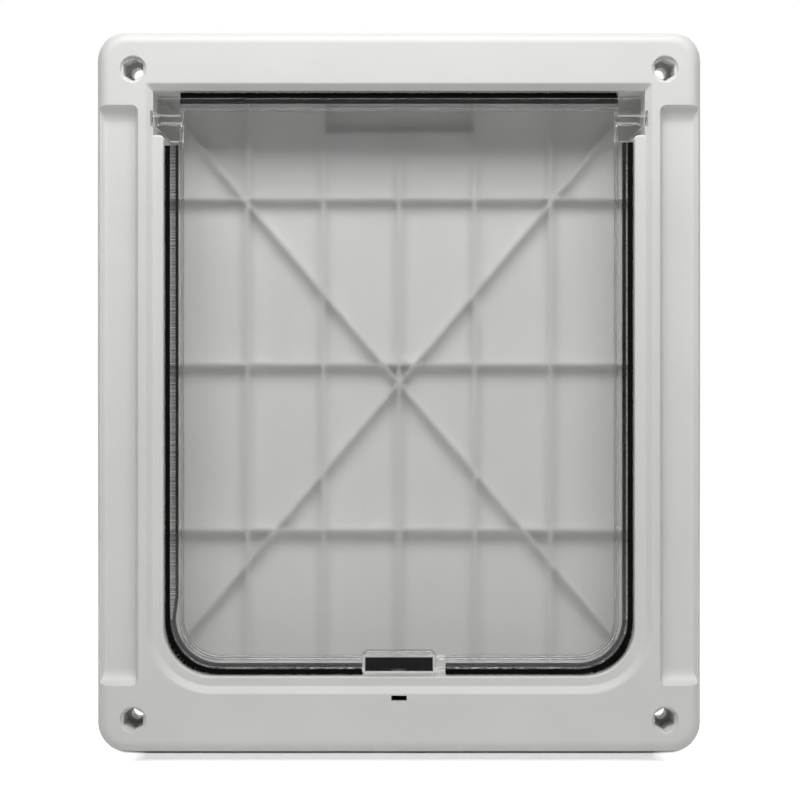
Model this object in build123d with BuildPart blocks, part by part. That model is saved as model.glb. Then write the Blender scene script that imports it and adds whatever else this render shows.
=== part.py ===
from build123d import *
import os
from math import atan2, degrees, hypot

# Pet door with a clear swinging flap, drawn in millimetres as it stands.
# X runs to the right and Z up, both from the middle of the four screw holes.
# Y runs from the street side to the room side, and y = 0 is where the outer frame meets the door.

# Screw pattern, and the margins from the holes to the frame's edges
hole_spacing_x = 260
hole_spacing_z = 318
margin_side = 18
margin_top = 19.2
margin_bottom = 16.8
hole_diameter = 6.2
nut_across_flats = 9.8
pocket_mouth_diameter = 12.4
pocket_mouth_depth = 1.8
pocket_mouth_rounding = 0.7
pocket_floor = 2.4
boss_wall = 2.2
screw_head_diameter = 12
screw_head_angle = 90

# Both moulded frames
corner_radius = 14.8
outer_depth = 20
inner_depth = 10
door_gap = 0.3
front_rounding = 6.5
room_rounding = 4
rim_wall = 2.6
face_wall = 2.5
stiffener_thickness = 1.8
stiffener_recess = 3
stiffener_pitch = 46

# Opening through the outer frame: a sunk band with a sloping side, and a lip inside it
opening_width = 230.8
sill_height = 37.5
head_height = 29.4
opening_radius = 24.4
lip_width = 5.2
sill_lip_width = 4.7
lip_end_drop = 21.7
lip_end_rounding = 2.1
sink_depth = 3
slope_width = 3.2
slope_rounding = 1.5
lip_rounding = 1
tight_corner = 1
tunnel_wall = 2.4
tunnel_skirt = 8
skirt_clearance = 0.4

# Scooped panel down each side of the outer frame
scoop_depth = 5.5
scoop_inner_edge = 18.4
scoop_outer_edge = 3.5
scoop_inner_slope = 2.2
scoop_outer_slope = 4
scoop_top_drop = 36.7
scoop_bottom_rise = 33.4
scoop_cove = 8.5
scoop_corner = 3.5

# Flap and its moulded pivots
pivot_drop = 13.8
flap_sink = 6.5
flap_side_gap = 3
flap_bottom_gap = 3.3
flap_heel = 10.4
flap_radius = 24.4
ear_gap = 1.8
ear_drop = 4.7
ear_pocket_depth = 1.2
ear_pocket_wall = 1.2
ear_pocket_rounding = 0.6
pane_thickness = 2
rim_thickness = 6
rim_width = 6.6
bead_width = 1.3
bead_thickness = 3.8
rim_rounding = 0.8
bead_rounding = 0.7
pivot_radius = 4
pivot_clearance = 0.1
pivot_reach = 0.8
pivot_length = 14.5
pivot_rounding = 0.6
socket_end_gap = 0.5
socket_throat = 7.8
socket_mouth = 10.8
socket_mouth_depth = 1.7
socket_mouth_flare = 1.5
socket_wall = 2.2

# Brush seal: a woven backing held in a channel, with the pile standing out of it
channel_mouth_width = 3.1
channel_mouth_depth = 1
channel_slot_width = 4.2
channel_slot_depth = 3.3
backing_height = 1.3
seal_clearance = 0.15
pile_gap = 0.3
head_pile_gap = 0.5
head_channel_length = 215
head_pile_slant = 1.2
side_seal_slant = 1.2
left_seal_drop = 1.6

# Magnet in the flap, in a clear holder let into its bottom rim
magnet_width = 33.1
magnet_height = 6.6
magnet_thickness = 5
magnet_inset = 0.5
magnet_clearance = 0.1
magnet_tab_width = 7
magnet_tab_height = 1
holder_side_wall = 1.4
holder_bottom_bar = 2.4
holder_top_bar = 2.4
holder_thickness = 9
holder_chamfer = 1.8
holder_rounding = 0.5
holder_clearance = 0.1
holder_sill_gap = 0.5
pane_groove_depth = 1.7
nib_width = 4.2
nib_drop = 1.7
nib_thickness = 3
nib_rounding = 0.9
nib_gap = 0.5

# Magnet under the sill, with the snap finger that holds it and the slot in front of the finger
sill_magnet_width = 33
sill_magnet_height = 5
sill_magnet_thickness = 5
cradle_wall = 1.6
finger_width = 6
finger_gap = 1
finger_thickness = 1.3
finger_hook_height = 1.2
finger_hook_depth = 1.6
slot_width = 7.5
slot_height = 2.6

# Closing panel behind the frame, with ribs towards the flap
panel_side_lap = 3
panel_bottom_lap = 6
panel_top_lap = 8.5
panel_corner = 3
panel_thickness = 2.4
panel_rib_height = 5.5
panel_rib_thickness = 1.2
panel_edge_wall = 1.8
panel_clearance = 0.5
panel_column_pitch = 38.2
panel_columns = 5
panel_row_pitch = 83.6
panel_row_middle = 14.6
panel_rows = 3
lattice_bottom_rise = 4.5
lattice_top_lap = 1.4
grip_height = 21.4
grip_bulge = 7
grip_wall = 2
grip_rounding = 2.5

# Runners on the inner frame that the closing panel slides in
runner_wall = 2.6
runner_lip = 4
runner_lip_thickness = 2.2
runner_lead_in = 1.2

# Places worked out from the sizes above
frame_width = hole_spacing_x + 2 * margin_side
frame_half = frame_width / 2
frame_top = hole_spacing_z / 2 + margin_top
frame_bottom = -hole_spacing_z / 2 - margin_bottom
frame_height = frame_top - frame_bottom
face_y = -outer_depth
face_back = face_y + face_wall
room_y = door_gap + inner_depth

opening_half = opening_width / 2
opening_bottom = frame_bottom + sill_height
opening_top = frame_top - head_height
lip_top = opening_top - lip_end_drop
sunk_half = opening_half + lip_width
sunk_bottom = opening_bottom - sill_lip_width
sunk_y = face_y + sink_depth
skirt_outside = tunnel_wall + skirt_clearance

scoop_top = frame_top - scoop_top_drop
scoop_bottom = frame_bottom + scoop_bottom_rise
scoop_middle = (scoop_top + scoop_bottom) / 2
scoop_floor_y = face_y + scoop_depth

pivot_y = face_y + flap_sink
pivot_z = opening_top - pivot_drop
flap_half = opening_half - flap_side_gap
flap_bottom = opening_bottom + flap_bottom_gap
flap_top = pivot_z + flap_heel
ear_half = sunk_half - ear_gap
ear_bottom = pivot_z - ear_drop
channel_top = ear_bottom - (ear_half - flap_half)
channel_depth = channel_mouth_depth + channel_slot_depth
pivot_end = sunk_half + pivot_reach
socket_end = pivot_end + socket_end_gap

holder_half = magnet_width / 2 + magnet_clearance + holder_side_wall
holder_bottom = opening_bottom + holder_sill_gap
magnet_bottom = holder_bottom + holder_bottom_bar
magnet_top = magnet_bottom + magnet_height
magnet_middle = (magnet_bottom + magnet_top) / 2
holder_top = magnet_top + holder_top_bar
holder_front = pivot_y - holder_thickness / 2
magnet_front = holder_front + magnet_inset
magnet_back = magnet_front + magnet_thickness
pane_edge = holder_top - pane_groove_depth + holder_clearance
nib_start = holder_half + nib_gap

sill_magnet_top = opening_bottom - tunnel_wall
sill_magnet_bottom = sill_magnet_top - sill_magnet_height
sill_magnet_front = sunk_y + face_wall
sill_magnet_back = sill_magnet_front + sill_magnet_thickness
ledge_start = finger_width / 2 + finger_gap
ledge_end = sill_magnet_width / 2 + magnet_clearance
ledge_top = sill_magnet_bottom - magnet_clearance
hook_front = sill_magnet_back + magnet_clearance
hook_back = hook_front + finger_hook_depth
slot_top = ledge_top - finger_thickness

panel_front = room_y + panel_clearance
plate_front = panel_front + panel_rib_height
plate_back = plate_front + panel_thickness
grip_back = plate_back + grip_bulge
panel_half = sunk_half + skirt_outside + panel_side_lap
panel_bottom = opening_bottom - skirt_outside - panel_bottom_lap
panel_top = opening_top + skirt_outside + panel_top_lap
lattice_half = panel_half - panel_edge_wall
lattice_bottom = panel_bottom + lattice_bottom_rise
lattice_top = opening_top + skirt_outside + lattice_top_lap
lattice_middle = (lattice_top + lattice_bottom) / 2
lattice_height = lattice_top - lattice_bottom
grip_half = panel_column_pitch - panel_rib_thickness / 2
runner_inside = panel_half + panel_clearance
runner_outside = runner_inside + runner_wall
runner_front = plate_back + panel_clearance
runner_back = runner_front + runner_lip_thickness
runner_top = opening_top + skirt_outside
stop_top = panel_bottom - panel_clearance
stop_bottom = stop_top - runner_wall


def plane_at(y):
    """The upright plane at a depth y, seen from the street side."""
    return Plane.XZ.offset(-y)


def frame_outline(inset):
    """The round-cornered outline that both frames share, drawn in by an inset."""
    with BuildSketch(mode=Mode.PRIVATE) as outline:
        with Locations((0, (frame_top + frame_bottom) / 2)):
            RectangleRounded(frame_width - 2 * inset, frame_height - 2 * inset, corner_radius - inset)
    return outline.sketch_local


def arched_outline(half_width, bottom, top, lower_radius):
    """A shape with two round corners below and two tight ones above."""
    with BuildSketch(mode=Mode.PRIVATE) as outline:
        with Locations((0, (top + bottom) / 2)):
            Rectangle(2 * half_width, top - bottom)
        fillet(outline.vertices().group_by(Axis.Y)[0], lower_radius)
        fillet(outline.vertices().group_by(Axis.Y)[-1], tight_corner)
    return outline.sketch_local


def sunk_outline(growth):
    """The foot of the sloping side round the opening, grown by an offset."""
    return arched_outline(
        sunk_half + growth, sunk_bottom - growth, opening_top + growth,
        opening_radius + sill_lip_width + growth)


def tunnel_outline(growth):
    """The way through the frame: narrow between the lips, wider beside the hinge."""
    with BuildSketch(mode=Mode.PRIVATE) as outline:
        add(arched_outline(
            opening_half + growth, opening_bottom - growth, lip_top, opening_radius + growth))
        with Locations((0, lip_top - growth)):
            Rectangle(
                2 * (sunk_half + growth), opening_top - lip_top + 2 * growth,
                align=(Align.CENTER, Align.MIN))
        with Locations((0, lip_top - growth)):
            Rectangle(2 * (opening_half + growth), lip_end_drop / 2, align=(Align.CENTER, Align.MAX))
        lip_ends = outline.vertices().group_by(Axis.Y)[-2].sort_by(Axis.X)[1:3]
        fillet(lip_ends, lip_end_rounding)
    return outline.sketch_local


def flap_edge(inset):
    """The straight sides and round lower corners of the flap, drawn in by an inset."""
    return arched_outline(
        flap_half - inset, flap_bottom + inset, flap_top - inset, flap_radius - inset)


def flap_outline():
    """The whole flap: a heel above the pivots and a flared ear at each of them."""
    with BuildSketch(mode=Mode.PRIVATE) as outline:
        add(flap_edge(0))
        with BuildLine():
            Polyline(
                (-flap_half, channel_top), (-ear_half, ear_bottom), (-ear_half, flap_top),
                (ear_half, flap_top), (ear_half, ear_bottom), (flap_half, channel_top), close=True)
        make_face()
        fillet(outline.vertices().group_by(Axis.Y)[-1], tight_corner)
    return outline.sketch_local


def side_seal_strip(outer, inner, side):
    """The strip between two outlines, from beside the magnet holder up to the ear."""
    if side > 0:
        start = nib_start + nib_width + seal_clearance
        end = channel_top - seal_clearance
    else:
        start = holder_half + holder_clearance
        end = channel_top - seal_clearance - left_seal_drop
    with BuildSketch(mode=Mode.PRIVATE) as strip:
        add(outer)
        add(inner, mode=Mode.SUBTRACT)
        with BuildLine():
            Polyline(
                (side * start, frame_bottom), (side * opening_half, frame_bottom),
                (side * opening_half, end), (side * (flap_half - channel_depth), end - side_seal_slant),
                (side * start, end - side_seal_slant), close=True)
        make_face(mode=Mode.INTERSECT)
    return strip.sketch_local


# The cutter for one side scoop: flared sides, with a cove at each end
with BuildPart() as scoop_cutter:
    for level in (0, 2):
        left = frame_half - scoop_inner_edge - level * scoop_inner_slope
        right = frame_half - scoop_outer_edge + level * scoop_outer_slope
        with BuildSketch(plane_at(scoop_floor_y - level * scoop_depth)):
            with Locations(((left + right) / 2, scoop_middle)):
                RectangleRounded(right - left, scoop_top - scoop_bottom, scoop_corner)
    loft()
    with BuildSketch(Plane.YZ.offset(frame_half)):
        with BuildLine():
            low = Line((face_y - scoop_depth, scoop_bottom), (face_y, scoop_bottom))
            floor = Line((scoop_floor_y, scoop_bottom + scoop_cove), (scoop_floor_y, scoop_top - scoop_cove))
            high = Line((face_y, scoop_top), (face_y - scoop_depth, scoop_top))
            TangentArc(floor @ 0, low @ 1, tangent=(0, -1))
            TangentArc(floor @ 1, high @ 0, tangent=(0, 1))
            Line(high @ 1, low @ 0)
        make_face()
    extrude(amount=frame_half / 2, both=True, mode=Mode.INTERSECT)

# The hollow behind the outer frame's face, less the walls, bosses and ribs that stand in it
with BuildPart() as outer_hollow:
    with BuildSketch(plane_at(0)):
        add(frame_outline(rim_wall))
    extrude(amount=-face_back)
    fillet(outer_hollow.faces().sort_by(Axis.Y)[0].edges(), max(front_rounding - face_wall, tight_corner))
    with BuildSketch(plane_at(0)):
        add(tunnel_outline(tunnel_wall))
        with GridLocations(hole_spacing_x, hole_spacing_z, 2, 2):
            Circle(pocket_mouth_diameter / 2 + boss_wall)
    extrude(amount=outer_depth, mode=Mode.SUBTRACT)
    # Solid backing behind the sunk band
    with BuildSketch(plane_at(sunk_y + face_wall)):
        add(sunk_outline(slope_width))
    extrude(amount=outer_depth, mode=Mode.SUBTRACT)
    # Solid backing behind the scoops
    with BuildSketch(plane_at(scoop_floor_y + face_wall)):
        for side in (-1, 1):
            with Locations((side * (frame_half - scoop_inner_edge - scoop_inner_slope), scoop_middle)):
                Rectangle(
                    2 * scoop_inner_edge, scoop_top - scoop_bottom + 2 * face_wall)
    extrude(amount=outer_depth, mode=Mode.SUBTRACT)
    # Stiffening ribs across the hollow, both ways
    rib_rows = 2 * int(frame_half / stiffener_pitch) + 1
    rib_columns = 2 * int(frame_half / stiffener_pitch)
    with BuildSketch(plane_at(-stiffener_recess)):
        with GridLocations(0, stiffener_pitch, 1, rib_rows):
            Rectangle(frame_width, stiffener_thickness)
        with GridLocations(stiffener_pitch, 0, rib_columns, 1):
            Rectangle(stiffener_thickness, 2 * frame_height)
    extrude(amount=outer_depth, mode=Mode.SUBTRACT)
    # A thicker wall behind each pivot socket
    with BuildSketch(plane_at(pivot_y + pivot_radius + socket_wall)):
        for side in (-1, 1):
            with Locations((side * socket_end, pivot_z)):
                Rectangle(2 * socket_wall, socket_mouth + 2 * socket_wall)
    extrude(amount=outer_depth, mode=Mode.SUBTRACT)
    # Room for the sill magnet, kept clear of the ribs
    with BuildSketch(plane_at(0)):
        with Locations((0, sill_magnet_top)):
            Rectangle(
                2 * (ledge_end + cradle_wall), sill_magnet_top - slot_top, align=(Align.CENTER, Align.MAX))
    extrude(amount=-sill_magnet_front)
    # Its cradle: an end wall and a ledge each side, and the snap finger with its hook
    with BuildSketch(plane_at(sill_magnet_back)):
        for side in (-1, 1):
            with BuildLine():
                Polyline(
                    (side * ledge_start, ledge_top), (side * ledge_end, ledge_top),
                    (side * ledge_end, sill_magnet_top), (side * (ledge_end + cradle_wall), sill_magnet_top),
                    (side * (ledge_end + cradle_wall), ledge_top - cradle_wall),
                    (side * ledge_start, ledge_top - cradle_wall), close=True)
            make_face()
    extrude(amount=outer_depth, mode=Mode.SUBTRACT)
    with BuildSketch(Plane.YZ):
        with BuildLine():
            Polyline(
                (face_y, slot_top), (face_y, ledge_top), (hook_front, ledge_top),
                (hook_front, ledge_top + finger_hook_height), (hook_back, ledge_top),
                (hook_back, slot_top), close=True)
        make_face()
    extrude(amount=finger_width / 2, both=True, mode=Mode.SUBTRACT)

# Outer frame: one moulding with the face, the tunnel's skirt, the pivot sockets and the nut pockets
with BuildPart() as outer_frame:
    with BuildSketch(plane_at(0)):
        add(frame_outline(0))
    extrude(amount=outer_depth)
    fillet(outer_frame.faces().sort_by(Axis.Y)[0].edges(), front_rounding)
    add(outer_hollow.part, mode=Mode.SUBTRACT)
    with BuildSketch(plane_at(tunnel_skirt)):
        add(tunnel_outline(tunnel_wall))
    extrude(amount=tunnel_skirt - sunk_y)
    # Sunk band with its sloping side, rounded at its head and foot
    for y, growth in ((sunk_y, 0), (face_y, slope_width)):
        with BuildSketch(plane_at(y)):
            add(sunk_outline(growth))
    loft(ruled=True, mode=Mode.SUBTRACT)
    slope_edges = outer_frame.edges(Select.LAST).filter_by(Axis.Y, reverse=True).group_by(Axis.Y)
    fillet(slope_edges[0] + slope_edges[-1], slope_rounding)
    # The way through, with a rounded lip
    with BuildSketch(plane_at(tunnel_skirt)):
        add(tunnel_outline(0))
    extrude(amount=tunnel_skirt - face_y, mode=Mode.SUBTRACT)
    lip_edges = outer_frame.edges(Select.LAST).filter_by_position(Axis.Y, sunk_y, sunk_y)
    fillet(lip_edges, lip_rounding)
    # Scoops down both sides
    add(scoop_cutter.part, mode=Mode.SUBTRACT)
    add(scoop_cutter.part.mirror(Plane.YZ), mode=Mode.SUBTRACT)
    # Pivot sockets: a flared mouth, a throat that the pivot snaps through and a round seat
    for side in (-1, 1):
        for y, flare in ((face_y + socket_mouth_depth, 0), (face_y, 1)):
            reach = socket_end + flare * socket_mouth_flare
            height = socket_throat + flare * (socket_mouth - socket_throat)
            with BuildSketch(plane_at(y)):
                with Locations((side * (reach + flap_half) / 2, pivot_z)):
                    Rectangle(reach - flap_half, height)
        loft(ruled=True, mode=Mode.SUBTRACT)
        with BuildSketch(plane_at(pivot_y)):
            with Locations((side * (socket_end + flap_half) / 2, pivot_z)):
                Rectangle(socket_end - flap_half, socket_throat)
        extrude(amount=flap_sink - socket_mouth_depth, mode=Mode.SUBTRACT)
        with BuildSketch(Plane.YZ.offset(side * flap_half)):
            with Locations((pivot_y, pivot_z)):
                Circle(pivot_radius + pivot_clearance)
        extrude(amount=side * (socket_end - flap_half), mode=Mode.SUBTRACT)
    # Slot in front of the snap finger
    with BuildSketch(plane_at(face_back)):
        with Locations((0, slot_top)):
            Rectangle(slot_width, slot_height, align=(Align.CENTER, Align.MAX))
    extrude(amount=face_wall, mode=Mode.SUBTRACT)
    # Nut pockets: a round mouth with a rounded rim, six sides with points up and down, and a screw hole
    with BuildSketch(plane_at(-pocket_floor)):
        with GridLocations(hole_spacing_x, hole_spacing_z, 2, 2):
            RegularPolygon(nut_across_flats / 2, 6, major_radius=False, rotation=30)
    extrude(amount=outer_depth - pocket_floor, mode=Mode.SUBTRACT)
    with Locations(plane_at(face_y)):
        with GridLocations(hole_spacing_x, hole_spacing_z, 2, 2):
            CounterBoreHole(
                hole_diameter / 2, pocket_mouth_diameter / 2, pocket_mouth_depth, outer_depth)
    pocket_mouths = outer_frame.edges(Select.LAST).filter_by(GeomType.CIRCLE).group_by(Axis.Y)[0]
    fillet(pocket_mouths, pocket_mouth_rounding)

# Bar magnet under the sill
with BuildPart() as sill_magnet:
    with BuildSketch(plane_at(sill_magnet_back)):
        with Locations((0, sill_magnet_bottom)):
            Rectangle(sill_magnet_width, sill_magnet_height, align=(Align.CENTER, Align.MIN))
    extrude(amount=sill_magnet_thickness)

# The hollow behind the inner frame's face, less the walls, bosses and ribs that stand in it
with BuildPart() as inner_hollow:
    with BuildSketch(plane_at(door_gap)):
        add(frame_outline(rim_wall))
    extrude(amount=-(inner_depth - face_wall))
    fillet(inner_hollow.faces().sort_by(Axis.Y)[-1].edges(), max(room_rounding - face_wall, tight_corner))
    with BuildSketch(plane_at(door_gap)):
        add(tunnel_outline(skirt_outside + tunnel_wall))
        with GridLocations(hole_spacing_x, hole_spacing_z, 2, 2):
            Circle(screw_head_diameter / 2 + boss_wall)
    extrude(amount=-inner_depth, mode=Mode.SUBTRACT)
    with BuildSketch(plane_at(door_gap + stiffener_recess)):
        with GridLocations(0, stiffener_pitch, 1, rib_rows):
            Rectangle(frame_width, stiffener_thickness)
        with GridLocations(stiffener_pitch, 0, rib_columns, 1):
            Rectangle(stiffener_thickness, 2 * frame_height)
    extrude(amount=-inner_depth, mode=Mode.SUBTRACT)

# Inner frame: a flatter moulding with the same outline, the runners and the stop for the panel
room_face = Plane(origin=(0, room_y, 0), x_dir=(-1, 0, 0), z_dir=(0, 1, 0))
with BuildPart() as inner_frame:
    with BuildSketch(plane_at(door_gap)):
        add(frame_outline(0))
    extrude(amount=-inner_depth)
    fillet(inner_frame.faces().sort_by(Axis.Y)[-1].edges(), room_rounding)
    add(inner_hollow.part, mode=Mode.SUBTRACT)
    with BuildSketch(plane_at(door_gap)):
        add(tunnel_outline(skirt_outside))
    extrude(amount=-inner_depth, mode=Mode.SUBTRACT)
    with Locations(room_face):
        with GridLocations(hole_spacing_x, hole_spacing_z, 2, 2):
            CounterSinkHole(hole_diameter / 2, screw_head_diameter / 2, inner_depth, screw_head_angle)
    for side in (-1, 1):
        with BuildSketch(Plane.XY.offset(stop_bottom)):
            with BuildLine():
                Polyline(
                    (side * runner_outside, room_y), (side * runner_outside, runner_back),
                    (side * (runner_inside - runner_lip), runner_back),
                    (side * (runner_inside - runner_lip), runner_front),
                    (side * runner_inside, runner_front), (side * runner_inside, room_y), close=True)
            make_face()
        extrude(amount=runner_top - stop_bottom)
    runner_mouths = inner_frame.edges().filter_by(Axis.X).filter_by_position(
        Axis.Z, runner_top, runner_top).filter_by_position(Axis.Y, runner_front, runner_front)
    chamfer(runner_mouths, runner_lead_in)
    with BuildSketch(plane_at(runner_back)):
        with Locations((0, stop_top)):
            Rectangle(2 * runner_outside, runner_wall, align=(Align.CENTER, Align.MAX))
    extrude(amount=runner_back - room_y)

# Flap: one clear moulding with its rim, channels, ears and pivots
with BuildPart() as flap:
    with BuildSketch(plane_at(pivot_y + pane_thickness / 2)):
        add(flap_outline())
    extrude(amount=pane_thickness)
    for thickness, width in ((rim_thickness, rim_width - bead_width), (bead_thickness, rim_width)):
        with BuildSketch(plane_at(pivot_y + thickness / 2)):
            add(flap_outline())
            add(flap_edge(width), mode=Mode.SUBTRACT)
        extrude(amount=thickness)
    levels = flap.faces().filter_by(Axis.Y).group_by(Axis.Y)
    bead_edges = levels[1][0].inner_wires().edges() + levels[-2][0].inner_wires().edges()
    rim_edges = levels[0].edges() + levels[-1].edges()
    fillet(bead_edges, bead_rounding)
    fillet(rim_edges, rim_rounding)
    # Channel for the brush seal: a narrow mouth, and a wider slot inside it
    for width, outer, inner in (
            (channel_mouth_width, -channel_mouth_depth, channel_mouth_depth),
            (channel_slot_width, channel_mouth_depth, channel_depth)):
        with BuildSketch(plane_at(pivot_y + width / 2)):
            add(flap_edge(outer))
            add(flap_edge(inner), mode=Mode.SUBTRACT)
            with Locations((0, channel_top)):
                Rectangle(
                    frame_width, channel_top - frame_bottom, align=(Align.CENTER, Align.MAX),
                    mode=Mode.INTERSECT)
            with Locations((0, flap_top - inner)):
                Rectangle(head_channel_length, inner - outer, align=(Align.CENTER, Align.MIN))
        extrude(amount=width, mode=Mode.SUBTRACT)
    # Moulded pivots
    for side in (-1, 1):
        with BuildSketch(Plane.YZ.offset(side * (pivot_end - pivot_length))):
            with Locations((pivot_y, pivot_z)):
                Circle(pivot_radius)
        extrude(amount=side * pivot_length)
    pivot_ends = flap.edges().filter_by(GeomType.CIRCLE).group_by(Axis.X)
    fillet(pivot_ends[0] + pivot_ends[-1], pivot_rounding)
    # A shallow recess in both faces of each ear, above its pivot
    pocket_inside = head_channel_length / 2 + ear_pocket_wall
    pocket_outside = ear_half - ear_pocket_wall
    pocket_bottom = pivot_z + pivot_radius + ear_pocket_wall
    pocket_top = flap_top - ear_pocket_wall
    for y in (pivot_y + rim_thickness / 2, pivot_y - rim_thickness / 2 + ear_pocket_depth):
        with BuildSketch(plane_at(y)):
            with Locations((0, (pocket_bottom + pocket_top) / 2)):
                with GridLocations(pocket_outside + pocket_inside, 0, 2, 1):
                    RectangleRounded(
                        pocket_outside - pocket_inside, pocket_top - pocket_bottom, ear_pocket_rounding)
        extrude(amount=ear_pocket_depth, mode=Mode.SUBTRACT)
    # Cut-out for the magnet holder, and the nib that stops the seal beside it
    with BuildSketch(plane_at(pivot_y + rim_thickness / 2)):
        with Locations((0, pane_edge)):
            Rectangle(
                2 * (holder_half + holder_clearance), rim_width + rim_thickness,
                align=(Align.CENTER, Align.MAX))
    extrude(amount=rim_thickness, mode=Mode.SUBTRACT)
    with BuildSketch(plane_at(pivot_y + nib_thickness / 2)) as nib:
        with Locations((nib_start, flap_bottom - nib_drop)):
            Rectangle(nib_width, nib_drop + channel_depth, align=(Align.MIN, Align.MIN))
        fillet(nib.vertices().group_by(Axis.Z)[0], nib_rounding)
    extrude(amount=nib_thickness)

# Brush seals down the sides and round the lower corners
pile_thickness = channel_mouth_width - 2 * seal_clearance
backing_thickness = channel_slot_width - 2 * seal_clearance
backing_start = channel_mouth_depth + seal_clearance
backing_end = backing_start + backing_height
side_seals = []
for side in (-1, 1):
    with BuildPart() as side_seal:
        with BuildSketch(plane_at(pivot_y + pile_thickness / 2)):
            pile_edge = arched_outline(
                opening_half - pile_gap, opening_bottom + pile_gap, opening_top, opening_radius - pile_gap)
            add(side_seal_strip(pile_edge, flap_edge(backing_end), side))
        extrude(amount=pile_thickness)
        with BuildSketch(plane_at(pivot_y + backing_thickness / 2)):
            add(side_seal_strip(flap_edge(backing_start), flap_edge(backing_end), side))
        extrude(amount=backing_thickness)
    side_seals.append(side_seal.part)

# Brush seal along the head
with BuildPart() as head_seal:
    backing_top = flap_top - backing_start
    backing_bottom = flap_top - backing_end
    backing_half = head_channel_length / 2 - seal_clearance
    with BuildSketch(plane_at(pivot_y + backing_thickness / 2)):
        with Locations((0, backing_bottom)):
            Rectangle(2 * backing_half, backing_top - backing_bottom, align=(Align.CENTER, Align.MIN))
    extrude(amount=backing_thickness)
    with BuildSketch(plane_at(pivot_y + pile_thickness / 2)):
        with BuildLine():
            pile_top = opening_top - head_pile_gap
            Polyline(
                (-backing_half, backing_bottom), (backing_half, backing_bottom),
                (backing_half - head_pile_slant, pile_top), (head_pile_slant - backing_half, pile_top),
                close=True)
        make_face()
    extrude(amount=pile_thickness)

# Magnet holder: a clear block that grips the pane's edge, with a pocket open to the street
with BuildPart() as magnet_holder:
    with BuildSketch(plane_at(holder_front + holder_thickness)) as holder_outline:
        with Locations((0, holder_bottom)):
            Rectangle(2 * holder_half, holder_top - holder_bottom, align=(Align.CENTER, Align.MIN))
        chamfer(holder_outline.vertices().group_by(Axis.Z)[0], holder_chamfer)
    extrude(amount=holder_thickness)
    fillet(magnet_holder.faces().sort_by(Axis.Y)[0].edges(), holder_rounding)
    with BuildSketch(plane_at(magnet_back + magnet_clearance)):
        with Locations((0, magnet_middle)):
            Rectangle(magnet_width + 2 * magnet_clearance, magnet_height + 2 * magnet_clearance)
    extrude(amount=holder_thickness, mode=Mode.SUBTRACT)
    with BuildSketch(plane_at(magnet_front - magnet_clearance)):
        with Locations((0, magnet_bottom + magnet_tab_height)):
            Rectangle(magnet_tab_width, 2 * magnet_tab_height, align=(Align.CENTER, Align.MAX))
    extrude(amount=magnet_inset - magnet_clearance)
    with BuildSketch(Plane.XY.offset(holder_top)):
        with Locations((0, pivot_y)):
            Rectangle(2 * holder_half, pane_thickness + 2 * holder_clearance)
    extrude(amount=-pane_groove_depth, mode=Mode.SUBTRACT)

# Bar magnet in the flap's holder
with BuildPart() as flap_magnet:
    with BuildSketch(plane_at(magnet_back)):
        with Locations((0, magnet_middle)):
            Rectangle(magnet_width, magnet_height)
    extrude(amount=magnet_thickness)

# Closing panel: a ribbed plate with a hollow grip that bulges into the room
with BuildPart() as closing_panel:
    with BuildSketch(plane_at(plate_back)):
        with Locations((0, (panel_top + panel_bottom) / 2)):
            RectangleRounded(2 * panel_half, panel_top - panel_bottom, panel_corner)
    extrude(amount=panel_thickness)
    with BuildSketch(plane_at(grip_back)):
        with Locations((0, lattice_top + grip_wall)):
            Rectangle(
                2 * (grip_half + grip_wall), grip_height + 2 * grip_wall, align=(Align.CENTER, Align.MAX))
    extrude(amount=grip_bulge)
    fillet(closing_panel.faces().sort_by(Axis.Y)[-1].edges(), grip_rounding)
    # Lattice of ribs inside a border
    with BuildSketch(plane_at(plate_front)):
        with Locations((0, lattice_middle)):
            Rectangle(2 * panel_half, lattice_height + 2 * panel_edge_wall)
            Rectangle(2 * lattice_half, lattice_height, mode=Mode.SUBTRACT)
            for turn in (-1, 1):
                Rectangle(
                    hypot(2 * lattice_half, lattice_height), panel_rib_thickness,
                    rotation=turn * degrees(atan2(lattice_height, 2 * lattice_half)))
            with GridLocations(panel_column_pitch, 0, panel_columns, 1):
                Rectangle(panel_rib_thickness, lattice_height)
        with Locations((0, panel_row_middle)):
            with GridLocations(0, panel_row_pitch, 1, panel_rows):
                Rectangle(2 * lattice_half, panel_rib_thickness)
    extrude(amount=panel_rib_height)
    with BuildSketch(plane_at(grip_back - grip_wall)):
        with Locations((0, lattice_top)):
            Rectangle(2 * grip_half, grip_height, align=(Align.CENTER, Align.MAX))
    extrude(amount=grip_back - grip_wall - panel_front, mode=Mode.SUBTRACT)

pieces = {
    "outer_frame": outer_frame.part,
    "inner_frame": inner_frame.part,
    "flap": flap.part,
    "head_seal": head_seal.part,
    "left_seal": side_seals[0],
    "right_seal": side_seals[1],
    "magnet_holder": magnet_holder.part,
    "flap_magnet": flap_magnet.part,
    "sill_magnet": sill_magnet.part,
    "closing_panel": closing_panel.part,
}
os.makedirs("parts", exist_ok=True)
for name, piece in pieces.items():
    piece.label = name
    export_step(piece, f"parts/{name}.step")
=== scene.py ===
"""A framed pet door: white mouldings, a clear flap in brush seals, magnets and a closing panel."""

import math
import random

import bmesh
import bpy
from mathutils import Matrix, Vector


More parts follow.
